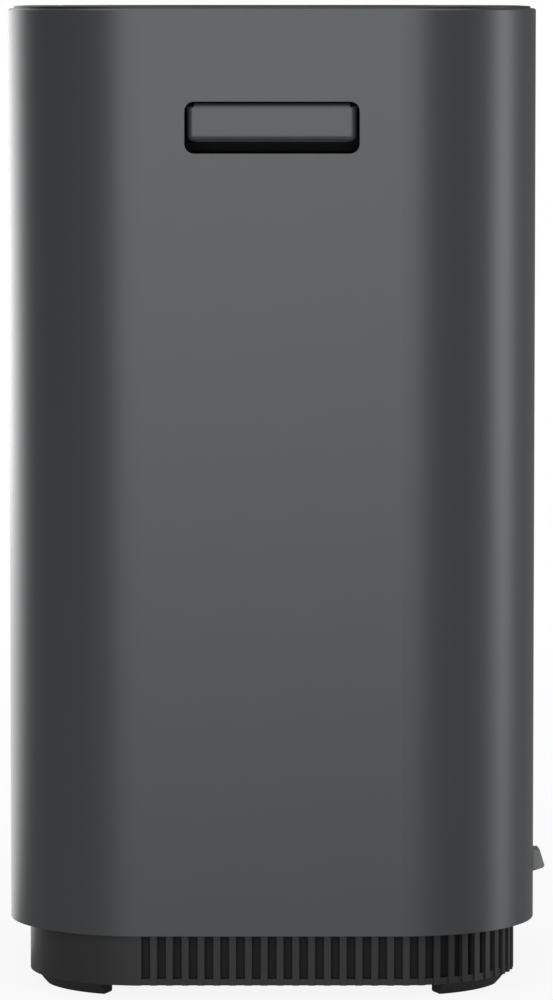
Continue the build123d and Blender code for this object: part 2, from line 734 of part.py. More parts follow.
save("top_panel", panel)
save("display_lens", block(-lens_width / 2, lens_width / 2, lens_y0, lens_y1,
                           panel_top - lens_thickness, panel_top))
grille_top = panel_top - grille_recess
grille_low = grille_top - grille_depth
grille = tube(0, 0, panel_under - grille_flange_height, panel_under, outlet_radius + grille_flange,
              outlet_radius - grille_ring_wall - slip)
grille += tube(0, 0, grille_low, grille_top, outlet_radius - slip, outlet_radius - grille_ring_wall - slip)
grille += rod(0, 0, grille_low, grille_top, grille_disc_radius)
ring_radius = grille_disc_radius + grille_ring_pitch
while ring_radius < outlet_radius - grille_ring_pitch / 2:
    grille += tube(0, 0, grille_low, grille_top, ring_radius, ring_radius - grille_ring_wall)
    ring_radius += grille_ring_pitch
spoke = block(grille_disc_radius - overlap, outlet_radius - grille_ring_wall, -grille_spoke_width / 2,
              grille_spoke_width / 2, grille_low, grille_top - grille_recess)
grille += [Rot(0, 0, i * 360 / grille_spokes) * spoke for i in range(grille_spokes)]
flange_low = panel_under - grille_flange_height
grille -= [rod(x, y, flange_low - overlap, panel_under + overlap, panel_hole)
           for x, y in grille_screw_places]
save("outlet_grille", grille)
panel_bolts = []
for x, y in grille_screw_places:
    bolt = rod(x, y, flange_low - motor_screw_head_height, flange_low, panel_screw_head)
    panel_bolts.append(bolt + rod(x, y, flange_low, panel_top - panel_thickness / 2, panel_screw_radius))
board_low = board_top - board_thickness
board = block(-board_width / 2, board_width / 2, control_y - board_depth / 2, control_y + board_depth / 2,
              board_low, board_top)
board -= [rod(side * board_boss_x, control_y, board_low - overlap, board_top + overlap, panel_hole)
          for side in sides.values()]
save("control_board", board)
for side in sides.values():
    x = side * board_boss_x
    bolt = rod(x, control_y, board_low - motor_screw_head_height, board_low, panel_screw_head)
    bolt += rod(x, control_y, board_low, board_top + board_drop / 2, panel_screw_radius)
    panel_bolts.append(bolt)
save("panel_screws", Compound(panel_bolts))
save("key_switches", Compound([block(x - switch_size / 2, x + switch_size / 2, control_y - switch_size / 2,
                                     control_y + switch_size / 2, board_top, board_top + switch_height)
                               for x in button_positions.values()]))
stem_low = board_top + switch_height + button_travel + running
flange_top = panel_under - running
for name, x in button_positions.items():
    cap = rod(x, control_y, flange_top - button_flange_height, panel_top, button_radius)
    cap += rod(x, control_y, flange_top - button_flange_height, flange_top, button_radius + button_flange)
    cap += rod(x, control_y, stem_low, flange_top, button_stem_radius)
    save("button_" + name, cap)

# Power board behind the front wall, and the air sensor on the bay floor
board_back = board_y + board_thickness
power_board = block(-power_width / 2, power_width / 2, board_y, board_back, power_bottom,
                    power_bottom + power_height)
power_board -= [rod_y(x, z, board_y - overlap, board_back + overlap, motor_hole) for x, z in power_holes]
save("power_board", power_board)
power_bolts = []
for x, z in power_holes:
    bolt = rod_y(x, z, board_back, board_back + motor_screw_head_height, motor_screw_head)
    power_bolts.append(bolt + rod_y(x, z, board_y - power_boss_length / 2, board_back, motor_screw_radius))
save("power_screws", Compound(power_bolts))
power_middle = power_bottom + power_height / 2
capacitors = [rod_y(side * capacitor_spread, power_middle + transformer_size, board_back,
                    board_back + capacitor_length, capacitor_radius) for side in sides.values()]
transformer = block(-transformer_size / 2, transformer_size / 2, board_back, board_back + transformer_depth,
                    power_middle - transformer_size, power_middle)
save("power_components", Compound(capacitors + [transformer]))
sensor_y = -half + sensor_setback
save("air_sensor", block(-sensor_width / 2, sensor_width / 2, sensor_y, sensor_y + sensor_depth,
                         floor_top, floor_top + sensor_height))

for name, shape in nodes.items():
    export_step(shape, "parts/" + name + ".step")
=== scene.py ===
# %% [markdown]
# # A tower air purifier, dressed for the studio
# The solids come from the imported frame, in metres, with the front at -Y and the photographed side at +X.
# The lesson sets the camera and the light first, then gives each surface its finish, and then makes
# the pieces whose rounded edges, strokes or strands need a finer surface than the solids carry.

# %% Load the frame
import json
import math

import bmesh
import bpy
import numpy as np
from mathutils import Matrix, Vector


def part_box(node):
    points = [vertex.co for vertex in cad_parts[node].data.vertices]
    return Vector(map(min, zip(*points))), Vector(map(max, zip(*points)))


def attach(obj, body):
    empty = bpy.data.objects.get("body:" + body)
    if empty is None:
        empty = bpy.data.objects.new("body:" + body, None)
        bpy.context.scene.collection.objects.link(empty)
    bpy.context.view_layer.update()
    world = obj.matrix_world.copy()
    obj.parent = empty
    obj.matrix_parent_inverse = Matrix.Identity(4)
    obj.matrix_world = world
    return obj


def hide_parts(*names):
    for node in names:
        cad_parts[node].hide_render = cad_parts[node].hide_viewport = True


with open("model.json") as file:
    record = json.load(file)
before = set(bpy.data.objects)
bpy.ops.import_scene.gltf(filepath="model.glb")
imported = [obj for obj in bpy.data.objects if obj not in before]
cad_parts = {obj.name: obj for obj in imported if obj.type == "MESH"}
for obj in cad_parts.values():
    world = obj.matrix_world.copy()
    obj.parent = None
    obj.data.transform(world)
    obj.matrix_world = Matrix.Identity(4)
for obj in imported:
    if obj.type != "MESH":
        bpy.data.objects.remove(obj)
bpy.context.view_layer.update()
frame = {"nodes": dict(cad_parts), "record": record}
nodes = frame["nodes"]
scene = bpy.context.scene
MM = 0.001

# %% [markdown]
# ## The camera
# The picture was taken square to one side with a long lens, from just above the top.
# A level camera would need a large lens shift, which would push the object out of the other views,
# so the camera tips down a few degrees and keeps a small shift.

# %% Camera
casing_low, casing_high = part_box("outer_casing")
camera_data = bpy.data.cameras.new("camera")
camera_data.sensor_width = 36.0
camera_data.lens = 199.4
camera_data.shift_x = 0.0045
camera_data.shift_y = -0.10
camera_data.clip_end = 400.0
camera = bpy.data.objects.new("camera", camera_data)
camera.location = (casing_high[0] + 2.874, 0.0, casing_high[2] + 0.0100)
camera.rotation_euler = (math.radians(90 - 4.24), 0.0, math.radians(90))
scene.collection.objects.link(camera)
scene.camera = camera
scene.view_settings.view_transform = "Standard"
print("camera at", [round(v, 3) for v in camera.location], "lens", round(camera_data.lens, 1))

# %% [markdown]
# ## Floor and surround
# The set is a white sweep. The floor stays an ordinary pale surface that takes the shadow, and most of
# what the camera and glass see of it is plain white, so the far end doesn't turn grey. Gloss sees
# the sweep too: bright under the two side lamps, where a studio lays white cards, and dim elsewhere.


# %% Helpers for node trees
def link(tree, source, target):
    """A wire from one socket to another."""
    tree.links.new(source, target)


def combine(tree, operation, first, second):
    """One maths node on two sockets, or on a socket and a number."""
    node = tree.nodes.new("ShaderNodeMath")
    node.operation = operation
    for value, target in zip((first, second), node.inputs):
        if isinstance(value, (int, float)):
            target.default_value = value
        else:
            link(tree, value, target)
    return node.outputs[0]


def ray_kinds(tree):
    """One for rays from the camera or through glass, and one for rays from gloss."""
    path = tree.nodes.new("ShaderNodeLightPath")
    seen = combine(tree, "MAXIMUM", path.outputs["Is Camera Ray"], path.outputs["Is Transmission Ray"])
    return seen, path.outputs["Is Glossy Ray"]


# %% World
world = bpy.data.worlds.new("studio")
scene.world = world
world.use_nodes = True
tree = world.node_tree
back = tree.nodes["Background"]
back.inputs["Color"].default_value = (1.0, 1.0, 1.0, 1.0)
seen, gloss = ray_kinds(tree)
level = combine(tree, "MAXIMUM", seen, combine(tree, "MULTIPLY", gloss, 0.19))
link(tree, combine(tree, "MAXIMUM", level, 0.08), back.inputs["Strength"])
print("world", world.name, "with", len(tree.nodes), "nodes")

# %% [markdown]
# The floor's shader mixes two things. A matt white takes light and shadow, and a glow stands for the
# sweep. The glow has nearly all the weight for the camera, and all of it far away, so only
# the ground close to the feet shows a soft shadow.

# %% Floor material
floor_material = bpy.data.materials.new("floor_white")
floor_material.use_nodes = True
tree = floor_material.node_tree
tree.nodes.clear()
matt = tree.nodes.new("ShaderNodeBsdfDiffuse")
matt.inputs["Color"].default_value = (0.88, 0.88, 0.88, 1.0)
glow = tree.nodes.new("ShaderNodeEmission")
seen, gloss = ray_kinds(tree)
where = tree.nodes.new("ShaderNodeSeparateXYZ")
place = tree.nodes.new("ShaderNodeTexCoord")
link(tree, place.outputs["Object"], where.inputs[0])


def card(x, y, direction, spread, strength):
    """A bright sector of floor from a point: one less the square of the angle off its middle."""
    angle = combine(tree, "ARCTAN2", combine(tree, "SUBTRACT", where.outputs["Y"], y),
                    combine(tree, "SUBTRACT", where.outputs["X"], x))
    off = combine(tree, "SUBTRACT", angle, math.radians(direction))
    off = combine(tree, "DIVIDE", off, math.radians(spread))
    rise = combine(tree, "SUBTRACT", 1.0, combine(tree, "MULTIPLY", off, off))
    return combine(tree, "MULTIPLY", combine(tree, "MAXIMUM", rise, 0.0), strength)


cards = combine(tree, "ADD", card(0.0, -0.14, -148, 32, 2.5), card(0.12, 0.12, 97, 13, 3.0))
tone = combine(tree, "ADD", cards, 0.32)
plain = combine(tree, "SUBTRACT", 1.0, gloss)
tone = combine(tree, "ADD", combine(tree, "MULTIPLY", tone, gloss), plain)
link(tree, tone, glow.inputs["Strength"])

# %% Weight of the sweep
away = tree.nodes.new("ShaderNodeVectorMath")
away.operation = "LENGTH"
link(tree, place.outputs["Object"], away.inputs[0])
white = tree.nodes.new("ShaderNodeMapRange")
white.inputs["From Min"].default_value = 0.3
white.inputs["From Max"].default_value = 1.6
white.inputs["To Min"].default_value = 0.90
white.inputs["To Max"].default_value = 1.0
link(tree, away.outputs["Value"], white.inputs["Value"])
share = combine(tree, "MULTIPLY", combine(tree, "MAXIMUM", seen, gloss), white.outputs["Result"])
mix = tree.nodes.new("ShaderNodeMixShader")
link(tree, share, mix.inputs["Fac"])
link(tree, matt.outputs[0], mix.inputs[1])
link(tree, glow.outputs[0], mix.inputs[2])
out = tree.nodes.new("ShaderNodeOutputMaterial")
link(tree, mix.outputs[0], out.inputs["Surface"])
print("floor material with", len(tree.nodes), "nodes")

# %% Floor
reach = 150.0
floor_mesh = bpy.data.meshes.new("studio_floor")
floor_mesh.from_pydata([(-reach, -reach, 0), (reach, -reach, 0), (reach, reach, 0), (-reach, reach, 0)], [],
                       [(0, 1, 2, 3)])
floor = bpy.data.objects.new("studio_floor", floor_mesh)
floor_mesh.materials.append(floor_material)
scene.collection.objects.link(floor)
print("floor reaches", reach, "m")

# %% [markdown]
# ## Lamps
# A wide panel behind the camera gives the flat side its broad sheen, brighter towards the top, and a
# low panel under it holds the sheen up towards the base.
# A tall strip beside the back makes the soft line on the right corner, and a panel behind the left
# makes the pale edge there. A large lamp overhead lights the top and the floor.


# %% Lamps
def panel_lamp(name, place, aim, width, height, radiance):
    """A rectangle of even light: its power is radiance times area times pi."""
    data = bpy.data.lights.new(name, "AREA")
    data.shape = "RECTANGLE"
    data.size = width
    data.size_y = height
    data.energy = radiance * width * height * math.pi
    lamp = bpy.data.objects.new(name, data)
    lamp.location = place
    lamp.rotation_euler = (Vector(aim) - Vector(place)).to_track_quat("-Z", "Y").to_euler()
    lamp.visible_camera = False
    scene.collection.objects.link(lamp)
    print("lamp", name, "power", round(data.energy, 1), "W")


aim = (0.0, 0.0, 0.30)
panel_lamp("front_panel", (4.2, -0.18, 1.18), aim, 3.1, 2.2, 2.95)
panel_lamp("low_panel", (4.0, -0.18, 0.26), aim, 3.1, 0.5, 4.4)
panel_lamp("right_strip", (-0.11, 2.01, 0.75), aim, 0.65, 1.5, 3.1)
panel_lamp("left_panel", (-1.80, -1.26, 0.85), aim, 1.6, 1.7, 2.2)
panel_lamp("top_panel_lamp", (0.3, 0.0, 2.6), aim, 2.2, 2.2, 2.2)

# %% [markdown]
# ## Finishes
# Nearly all of the object is moulded plastic, so one recipe serves: a base colour with a faint
# mottle, a roughness that wanders a little, and a fine grain that only touches the normals.
# The scales are in cycles per metre on Object coordinates, so the grain is the same on every piece.


# %% Recipe for a moulded surface
def moulded(name, colour, roughness, grain, depth, mottle=0.04, specular=0.5, metallic=0.0,
            stretch=(1, 1, 1)):
    """Plastic, rubber or metal: noise drives colour, roughness and bump, each within a narrow band."""
    material = bpy.data.materials.new(name)
    material.use_nodes = True
    tree = material.node_tree
    shader = tree.nodes["Principled BSDF"]
    shader.inputs["Metallic"].default_value = metallic
    shader.inputs["Specular IOR Level"].default_value = specular
    place = tree.nodes.new("ShaderNodeTexCoord")
    turn = tree.nodes.new("ShaderNodeMapping")
    turn.inputs["Scale"].default_value = stretch
    link(tree, place.outputs["Object"], turn.inputs["Vector"])
    fine = tree.nodes.new("ShaderNodeTexNoise")
    fine.inputs["Scale"].default_value = grain
    fine.inputs["Detail"].default_value = 2.0
    broad = tree.nodes.new("ShaderNodeTexNoise")
    broad.inputs["Scale"].default_value = 35.0
    broad.inputs["Detail"].default_value = 4.0
    for noise in (fine, broad):
        link(tree, turn.outputs["Vector"], noise.inputs["Vector"])
    tint = tree.nodes.new("ShaderNodeMix")
    tint.data_type = "RGBA"
    tint.inputs["A"].default_value = (*[c * (1 - mottle) for c in colour], 1.0)
    tint.inputs["B"].default_value = (*[min(1.0, c * (1 + mottle)) for c in colour], 1.0)
    link(tree, broad.outputs["Fac"], tint.inputs["Factor"])
    link(tree, tint.outputs["Result"], shader.inputs["Base Color"])
    satin = tree.nodes.new("ShaderNodeMapRange")
    satin.inputs["To Min"].default_value = roughness - 0.05
    satin.inputs["To Max"].default_value = roughness + 0.05
    link(tree, fine.outputs["Fac"], satin.inputs["Value"])
    link(tree, satin.outputs["Result"], shader.inputs["Roughness"])
    bump = tree.nodes.new("ShaderNodeBump")
    bump.inputs["Strength"].default_value = 0.35
    bump.inputs["Distance"].default_value = depth
    link(tree, fine.outputs["Fac"], bump.inputs["Height"])
    link(tree, bump.outputs["Normal"], shader.inputs["Normal"])
    return material


# %% [markdown]
# ## Foam, carbon, wire and boards
# Foam and carbon are made of cells or grains, so their recipe reads a cell pattern: the distance from a
# cell's middle gives the bump, and each cell has a shade of its own. Wound wire and printed boards
# are lined, so theirs reads straight bands, a wire's width or a track's width apart. On the wire the
# second, darker colour lies in the low bands, a painted shade in the grooves between the turns.


# %% Recipes for cells and bands
def celled(name, colour, roughness, cells, depth, spread):
    """Grains or pores: colour varies from cell to cell, height falls from each cell's middle."""
    material = moulded(name, colour, roughness, cells * 2, depth, specular=0.15)
    tree = material.node_tree
    shader = tree.nodes["Principled BSDF"]
    grains = tree.nodes.new("ShaderNodeTexVoronoi")
    grains.inputs["Scale"].default_value = cells
    link(tree, tree.nodes["Texture Coordinate"].outputs["Object"], grains.inputs["Vector"])
    shade = tree.nodes.new("ShaderNodeMix")
    shade.data_type = "RGBA"
    shade.inputs["A"].default_value = (*[c * (1 - spread) for c in colour], 1.0)
    shade.inputs["B"].default_value = (*[c * (1 + spread) for c in colour], 1.0)
    link(tree, grains.outputs["Color"], shade.inputs["Factor"])
    link(tree, shade.outputs["Result"], shader.inputs["Base Color"])
    bump = tree.nodes["Bump"]
    bump.invert = True
    bump.inputs["Strength"].default_value = 0.8
    link(tree, grains.outputs["Distance"], bump.inputs["Height"])
    return material


def banded(name, colour, second, roughness, bands, depth, metallic):
    """Straight bands of two colours across the height, slightly uneven, that also lift the surface."""
    material = moulded(name, colour, roughness, 900, depth, metallic=metallic)
    tree = material.node_tree
    wave = tree.nodes.new("ShaderNodeTexWave")
    wave.bands_direction = "Z" if metallic else "X"
    wave.inputs["Scale"].default_value = bands
    wave.inputs["Distortion"].default_value = 0.6 if metallic else 3.0
    link(tree, tree.nodes["Texture Coordinate"].outputs["Object"], wave.inputs["Vector"])
    shade = tree.nodes.new("ShaderNodeMix")
    shade.data_type = "RGBA"
    shade.inputs["A"].default_value = (*second, 1.0)
    shade.inputs["B"].default_value = (*colour, 1.0)
    link(tree, wave.outputs["Fac"], shade.inputs["Factor"])
    link(tree, shade.outputs["Result"], tree.nodes["Principled BSDF"].inputs["Base Color"])
    link(tree, wave.outputs["Fac"], tree.nodes["Bump"].inputs["Height"])
    return material


# %% Finishes by slot
finish = {
    "casing_grey": moulded("casing_grey", (0.040, 0.042, 0.044), 0.37, 2600, 0.00004),
    "base_grey": moulded("base_grey", (0.029, 0.029, 0.029), 0.46, 2400, 0.00004, specular=0.22),
    "panel_black": moulded("panel_black", (0.016, 0.016, 0.017), 0.45, 2200, 0.00004),
    "foot_rubber": moulded("foot_rubber", (0.018, 0.018, 0.018), 0.75, 1500, 0.00008, specular=0.3),
    "seal_foam": celled("seal_foam", (0.045, 0.045, 0.047), 0.9, 1100, 0.0004, 0.5),
    "screen_mesh": moulded("screen_mesh", (0.010, 0.010, 0.010), 0.65, 1400, 0.0002, specular=0.2),
    "chassis_white": moulded("chassis_white", (0.55, 0.55, 0.54), 0.5, 1800, 0.00004),
    "impeller_grey": moulded("impeller_grey", (0.30, 0.31, 0.32), 0.45, 1800, 0.00004),
    "filter_paper": moulded("filter_paper", (0.80, 0.80, 0.77), 0.95, 700, 0.0003, 0.06, 0.1,
                            stretch=(1, 1, 0.15)),
    "carbon_black": celled("carbon_black", (0.022, 0.022, 0.023), 0.6, 620, 0.0011, 0.6),
    "steel": moulded("steel", (0.55, 0.55, 0.56), 0.32, 900, 0.00003, metallic=1.0, stretch=(1, 1, 0.1)),
    "motor_metal": moulded("motor_metal", (0.60, 0.60, 0.60), 0.40, 900, 0.00004, metallic=1.0),
    "iron": moulded("iron", (0.12, 0.12, 0.12), 0.60, 700, 0.0001, metallic=0.6),
    # The copper's darker second colour falls in the low bands: painted shade in the grooves between turns.
    "copper": banded("copper", (0.60, 0.27, 0.12), (0.30, 0.12, 0.05), 0.3, 520, 0.0003, 1.0),
    "board_green": banded("board_green", (0.02, 0.13, 0.06), (0.03, 0.20, 0.10), 0.4, 150, 0.00005, 0.0),
    "component_black": moulded("component_black", (0.03, 0.03, 0.03), 0.50, 900, 0.00005),
    "lens_black": moulded("lens_black", (0.008, 0.008, 0.009), 0.12, 600, 0.000004, mottle=0.1),
}
casing_shader = finish["casing_grey"].node_tree.nodes["Principled BSDF"]
casing_shader.inputs["Specular Tint"].default_value = (0.95, 0.985, 1.0, 1.0)
print("finishes", len(finish))

# %% [markdown]
# ## Dressing the solids
# The solids keep their shape, so each only gets the finish of its slot. Three kinds of piece differ from
# their slot: the hood over the cord hole is a paler grey, the hinge pins are blackened so that they
# don't glint beside the flaps, and the pockets behind the flaps are painted a deep matt black,
# a painted shade for the dark inside of each pocket.

# %% Finishes on the solids
slot_of = {part["node"]: part["material_slot"] for part in frame["record"]["subparts"]}
special = {
    "cord_gland": moulded("hood_grey", (0.20, 0.203, 0.205), 0.45, 2400, 0.00004),
    "grip_pins": moulded("pin_black", (0.02, 0.02, 0.02), 0.5, 900, 0.00003, metallic=1.0),
    # The pockets' near-black colour is painted shade for the dark inside of each pocket.
    "grip_cup_right": moulded("pocket_painted_shade", (0.005, 0.005, 0.005), 0.6, 2200, 0.00004, specular=0.12),
}
special["grip_cup_left"] = special["grip_cup_right"]
for name, solid in nodes.items():
    solid.material_slots[0].material = special.get(name, finish[slot_of[name]])
print("dressed", len(nodes), "solids, special", len(special))

# %% [markdown]
# ## Helpers for new surfaces
# Every new piece is a grid of points: a profile carried round an axis or along a path, or a family of
# rounded rectangles joined in order. Equal points are merged, so poles and seams close, and the
# faces are turned outwards before the edges sharper than a set angle are marked.


# %% Grid and piece helpers
def quads(rows, columns, wrap_rows=False, wrap_columns=True):
    """Faces between neighbouring rows and columns of a grid, closed round where asked."""
    r = np.arange(rows if wrap_rows else rows - 1)
    c = np.arange(columns if wrap_columns else columns - 1)
    r, c = np.meshgrid(r, c, indexing="ij")
    below, beside = (r + 1) % rows, (c + 1) % columns
    corners = [r * columns + c, r * columns + beside, below * columns + beside, below * columns + c]
    return np.stack(corners, axis=-1).reshape(-1, 4)


def together(surfaces):
    """Several surfaces as one: the points in a row, the faces counted on."""
    points = [p.reshape(-1, 3) for p, _ in surfaces]
    starts = np.cumsum([0] + [len(p) for p in points[:-1]])
    faces = [f + start for (_, f), start in zip(surfaces, starts)]
    return np.concatenate(points), np.concatenate(faces)


def make_piece(name, body, surface, material, stands_for=(), crease=38):
    """A mesh object from points and faces, riding on a body and finished like a slot."""
    points, faces = surface
    mesh = bpy.data.meshes.new(name)
    mesh.from_pydata(points.reshape(-1, 3).tolist(), [], faces.tolist())
    shape = bmesh.new()
    shape.from_mesh(mesh)
    bmesh.ops.remove_doubles(shape, verts=shape.verts, dist=1e-7)
    bmesh.ops.recalc_face_normals(shape, faces=shape.faces)
    shape.to_mesh(mesh)
    shape.free()
    mesh.polygons.foreach_set("use_smooth", np.ones(len(mesh.polygons), dtype=bool))
    mesh.set_sharp_from_angle(angle=math.radians(crease))
    mesh.materials.append(material)
    piece = bpy.data.objects.new(name, mesh)
    scene.collection.objects.link(piece)
    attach(piece, body)
    if stands_for:
        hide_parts(*stands_for)
    print("piece", name, "with", len(mesh.polygons), "faces on", body)
    return piece


# %% Profiles carried round an axis
def turned(profile, count=96, closed=False, centre=(0.0, 0.0)):
    """Each profile point, a radius and a height, carried round an upright axis."""
    radius, height = np.asarray(profile, dtype=float).T[:, :, None]
    angle = np.linspace(0, 2 * np.pi, count, endpoint=False)
    points = np.stack([centre[0] + radius * np.cos(angle), centre[1] + radius * np.sin(angle),
                       height + 0 * angle], axis=-1)
    return points, quads(len(points), count, wrap_rows=closed)


def bar_section(middle, width, low, top, count=9):
    """A bar's section: upright sides, and a half circle from side to side on top."""
    angle = np.linspace(0, np.pi, count)
    across = middle + width / 2 * np.cos(angle)
    up = top - width / 2 + width / 2 * np.sin(angle)
    sides = np.array([[middle - width / 2, low], [middle + width / 2, low]])
    return np.concatenate([np.stack([across, up], axis=-1), sides])


# %% Families of rounded rectangles
def rectangles(rows, count=10, closed=False):
    """Rounded rectangles, one for each row of width, length, corner radius, centre and level.
    A point is its corner's centre plus the radius along its own direction, so the points match."""
    width, length, radius, mid_u, mid_v, level = np.asarray(rows, dtype=float).T[:, :, None]
    quarter = np.linspace(0, np.pi / 2, count)
    angle = (np.arange(4)[:, None] * np.pi / 2 + quarter).ravel()
    sign_u = np.repeat([1, -1, -1, 1], count)
    sign_v = np.repeat([1, 1, -1, -1], count)
    u = mid_u + sign_u * (width / 2 - radius) + radius * np.cos(angle)
    v = mid_v + sign_v * (length / 2 - radius) + radius * np.sin(angle)
    return np.stack([u, v, level + 0 * u], axis=-1), quads(len(u), 4 * count, wrap_rows=closed)


# %% [markdown]
# ## Outlet grille
# The real grille is one moulding of thin rings on spokes, with soft top edges that catch the light.
# Each ring is the same round-topped section carried round the axis, each spoke the same section drawn
# out along a radius, and the middle is a shallow dish.

# %% Grille rings
grille_low, grille_high = (np.array(corner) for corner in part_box("outlet_grille"))
bar_low, bar_top = grille_low[2], grille_high[2]
flange_radius = grille_high[0]
rim_radius, disc_radius, ring_pitch, bar_width = 95.8 * MM, 30.0 * MM, 7.2 * MM, 1.8 * MM
ring_middles = disc_radius + ring_pitch * np.arange(1, 9) - bar_width / 2
rings = [turned(bar_section(middle, bar_width, bar_low, bar_top), 144, True) for middle in ring_middles]
flange_top, flange_low = bar_top - 2.5 * MM, bar_top - 4.9 * MM
rim = [(rim_radius - bar_width, bar_low), (rim_radius, bar_low), (rim_radius, flange_low),
       (flange_radius, flange_low), (flange_radius, flange_top), (rim_radius, flange_top)]
rim_top = bar_section(rim_radius - bar_width / 2, bar_width, bar_low, bar_top)[:-2]
rings.append(turned(np.concatenate([rim, rim_top]), 180, True))
print("rings", len(rings), "out to", round(flange_radius / MM, 1), "mm")

# %% Grille middle
dish_across = np.linspace(0, disc_radius - 1.2 * MM, 12)
dish_depth = 1.4 * MM * np.cos(np.pi / 2 * dish_across / disc_radius) ** 2
dish = np.stack([dish_across, bar_top - dish_depth], axis=-1)
edge_turn = np.linspace(np.pi / 2, 0, 6)
edge = np.stack([disc_radius - 1.2 * MM + 1.2 * MM * np.cos(edge_turn),
                 bar_top - 1.2 * MM + 1.2 * MM * np.sin(edge_turn)], axis=-1)
rings.append(turned(np.concatenate([dish, edge, [(disc_radius, bar_low), (0, bar_low)]]), 120))
print("middle disc", round(disc_radius / MM, 1), "mm in radius")


# %% Grille spokes
def spoke_bars(section, start, end, turns):
    """One section drawn out along a radius, closed at both ends, and turned to each angle."""
    across, up = section.T
    middle = section.mean(axis=0)
    along = np.array([start, start, end, end])[:, None]
    full = np.array([0.0, 1.0, 1.0, 0.0])[:, None]
    y, z = middle[0] + full * (across - middle[0]), middle[1] + full * (up - middle[1])
    x = along + 0 * y
    cos, sin = np.cos(turns)[:, None, None], np.sin(turns)[:, None, None]
    points = np.stack([x * cos - y * sin, x * sin + y * cos, z + 0 * cos], axis=-1)
    one = quads(4, len(section))
    faces = one[None] + (np.arange(len(turns)) * 4 * len(section))[:, None, None]
    return points, faces.reshape(-1, 4)


spoke = bar_section(0.0, 2.0 * MM, bar_low, bar_top - 0.6 * MM, 7)
spokes = spoke_bars(spoke, disc_radius - 1.0 * MM, rim_radius - bar_width / 2, np.arange(16) * np.pi / 8)
make_piece("grille_rings", "housing", together(rings + [spokes]), finish["panel_black"],
           ("outlet_grille",))

# %% [markdown]
# ## Buttons and their signs
# Each cap is dished for a fingertip and has a soft rim, so it is a turned profile that keeps the
# solid's radius and height. The signs are generic strokes, half sunk into the dish like a print.

# %% Button caps
cap_dish = 0.7 * MM
cap_rim = 0.5 * MM


def dish_level(radius, cap_radius, top):
    """Height inside a cap: a bowl that rises with the square of the radius to the rim."""
    bowl = cap_radius - cap_rim
    return top - cap_dish * (1 - np.minimum(radius / bowl, 1.0) ** 2)


def button_cap(node):
    """A bowl, a quarter-round rim, the skirt, the flange that keeps it in, and the stem."""
    low, high = (np.array(corner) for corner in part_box(node))
    flange = (high[0] - low[0]) / 2
    cap_radius, top = flange - 1.0 * MM, high[2]
    across = np.linspace(0, cap_radius - cap_rim, 10)
    bowl = np.stack([across, dish_level(across, cap_radius, top)], axis=-1)
    turn = np.linspace(np.pi / 2, 0, 6)
    rim = np.stack([cap_radius - cap_rim * (1 - np.cos(turn)), top - cap_rim * (1 - np.sin(turn))], axis=-1)
    flange_top = top - 3.3 * MM
    skirt = [(cap_radius, flange_top), (flange, flange_top), (flange, flange_top - 1.0 * MM),
             (2.5 * MM, flange_top - 1.0 * MM), (2.5 * MM, low[2]), (0, low[2])]
    middle = (low[:2] + high[:2]) / 2
    return turned(np.concatenate([bowl, rim, skirt]), 64, centre=middle), middle, cap_radius, top


caps = {}
for use in ("power", "speed", "mode", "timer"):
    surface, middle, cap_radius, top = button_cap("button_" + use)
    caps[use] = (middle, cap_radius, top)
    make_piece("cap_" + use, use + "_button", surface, finish["panel_black"],
               ("button_" + use,))


# %% Signs on the caps
def stroke(path, level, width=0.42 * MM, rise=0.05 * MM, closed=False):
    """A low ridge along a flat path: four points across, set off along the path's normal."""
    path = np.asarray(path, dtype=float)
    step = np.roll(path, -1, 0) - np.roll(path, 1, 0) if closed else np.gradient(path, axis=0)
    step /= np.linalg.norm(step, axis=1, keepdims=True)
    normal = np.stack([-step[:, 1], step[:, 0]], axis=-1)
    across = np.array([-0.5, -0.35, 0.35, 0.5]) * width
    height = np.array([-1.0, 1.0, 1.0, -1.0]) * rise
    flat = path[:, None] + normal[:, None] * across[:, None]
    up = level(path)[:, None] + height
    points = np.concatenate([flat, up[..., None]], axis=-1)
    if not closed:
        ends = points[[0, -1]].mean(axis=1, keepdims=True) + 0 * points[[0, -1]]
        points = np.concatenate([ends[:1], points, ends[1:]])
    return points, quads(len(points), 4, wrap_rows=closed)


def arc(radius, start, end, centre=(0.0, 0.0), count=40):
    """Points on a circle between two angles in degrees."""
    angle = np.radians(np.linspace(start, end, count))
    return np.array(centre) + radius * np.stack([np.cos(angle), np.sin(angle)], axis=-1)


def line(start, end, count=6):
    """Evenly spaced points from one end to the other."""
    return np.linspace(start, end, count)


# %% Four generic signs
wave_x = np.linspace(-2.3, 2.3, 30)
waves = [np.stack([wave_x, y + 0.38 * np.sin(wave_x * 2.05)], axis=-1) for y in (-1.5, 0.0, 1.5)]
moon = np.concatenate([arc(2.3, 105, 315), arc(2.38, 278.6, 141.4, (1.21, 0.70))[1:-1]])
signs = {
    "power": [(arc(2.2, 125, 415), False), (line((0, 0.7), (0, 2.7)), False)],
    "speed": [(wave, False) for wave in waves],
    "mode": [(moon, True)],
    "timer": [(arc(2.3, 0, 351), True), (line((0, 1.5), (0, 0)), False), (line((0, 0), (1.1, 0)), False)],
}
sign_white = moulded("sign_white", (0.62, 0.62, 0.61), 0.55, 1500, 0.00002)
for use, strokes in signs.items():
    middle, cap_radius, top = caps[use]

    def level(path):
        return dish_level(np.linalg.norm(path - middle, axis=1), cap_radius, top)

    ridges = [stroke(middle + np.asarray(path) * MM, level, closed=closed) for path, closed in strokes]
    make_piece("sign_" + use, use + "_button", together(ridges), sign_white)
